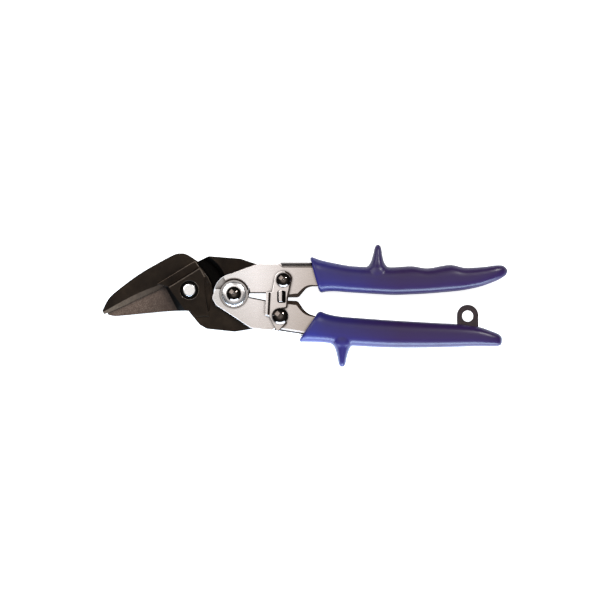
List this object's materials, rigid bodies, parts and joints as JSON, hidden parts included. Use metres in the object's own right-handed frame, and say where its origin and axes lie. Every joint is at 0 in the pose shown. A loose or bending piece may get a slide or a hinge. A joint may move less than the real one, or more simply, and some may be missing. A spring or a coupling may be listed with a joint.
{
  "type": "aviation snips",
  "caption": "Offset aviation snips: forged shear blades driven by compound-leverage channel handles with vinyl grips, a latch plate and a hanging tab.",
  "frame": {"origin": "centre of the blade pivot bolt's far end, on the plane the tool rests on", "axes": "+X from the blade tips to the grips, +Y across the handles towards the finger stop, +Z through the thickness towards the side with the domed heads and the latch"},
  "size_m": [0.2413, 0.0716, 0.0221],
  "materials": {
    "blade_steel": "black-brown oxide on forged steel, with a ground bevel",
    "frame_nickel": "satin nickel plate on pressed steel",
    "fastener_chrome": "bright polished chrome",
    "spring_steel": "drawn wire",
    "grip_vinyl": "dipped blue vinyl with a soft gloss",
    "tab_steel": "dark coated steel"
  },
  "bodies": {
    "lower_handle": {"lower_handle_frame": "frame_nickel", "lower_grip": "grip_vinyl", "hang_tab": "tab_steel", "handle_pivot_bolt": "fastener_chrome", "handle_pivot_washer": "fastener_chrome", "handle_pivot_collar": "frame_nickel", "handle_pivot_sleeve": "spring_steel", "handle_pivot_nut": "fastener_chrome", "return_spring": "spring_steel", "lower_tang_bolt": "fastener_chrome", "lower_tang_nut": "fastener_chrome"},
    "upper_handle": {"upper_handle_frame": "frame_nickel", "upper_grip": "grip_vinyl", "upper_tang_bolt": "fastener_chrome", "upper_tang_nut": "fastener_chrome"},
    "upper_blade": {"upper_blade": "blade_steel", "blade_pivot_bolt": "fastener_chrome", "blade_pivot_washer": "fastener_chrome", "blade_pivot_nut": "fastener_chrome"},
    "lower_blade": {"lower_blade": "blade_steel"},
    "latch": {"latch_plate": "frame_nickel", "latch_button": "fastener_chrome"}
  },
  "joints": [
    {"name": "handle_opening", "type": "hinge", "parent": "lower_handle", "child": "upper_handle", "pos_m": [0.02656, -0.00232, 0.0097], "axis": [0, 0, 1], "range_deg": [0, 34], "deforming": ["return_spring"]},
    {"name": "upper_blade_turn", "type": "hinge", "parent": "lower_handle", "child": "upper_blade", "pos_m": [0.05405, -0.0156, 0.0097], "axis": [0, 0, 1], "range_deg": [0, 8.6]},
    {"name": "lower_blade_turn", "type": "hinge", "parent": "upper_handle", "child": "lower_blade", "pos_m": [0.05593, 0.00598, 0.0097], "axis": [0, 0, 1], "range_deg": [-8.6, 0]},
    {"name": "latch_swing", "type": "hinge", "parent": "upper_handle", "child": "latch", "pos_m": [0.05593, 0.00598, 0.0172], "axis": [0, 0, 1], "range_deg": [-26, 0]}
  ],
  "couplings": [
    {"joint": "upper_blade_turn", "follows": "handle_opening", "ratio": 0.2515},
    {"joint": "lower_blade_turn", "follows": "handle_opening", "ratio": -0.2515}
  ]
}
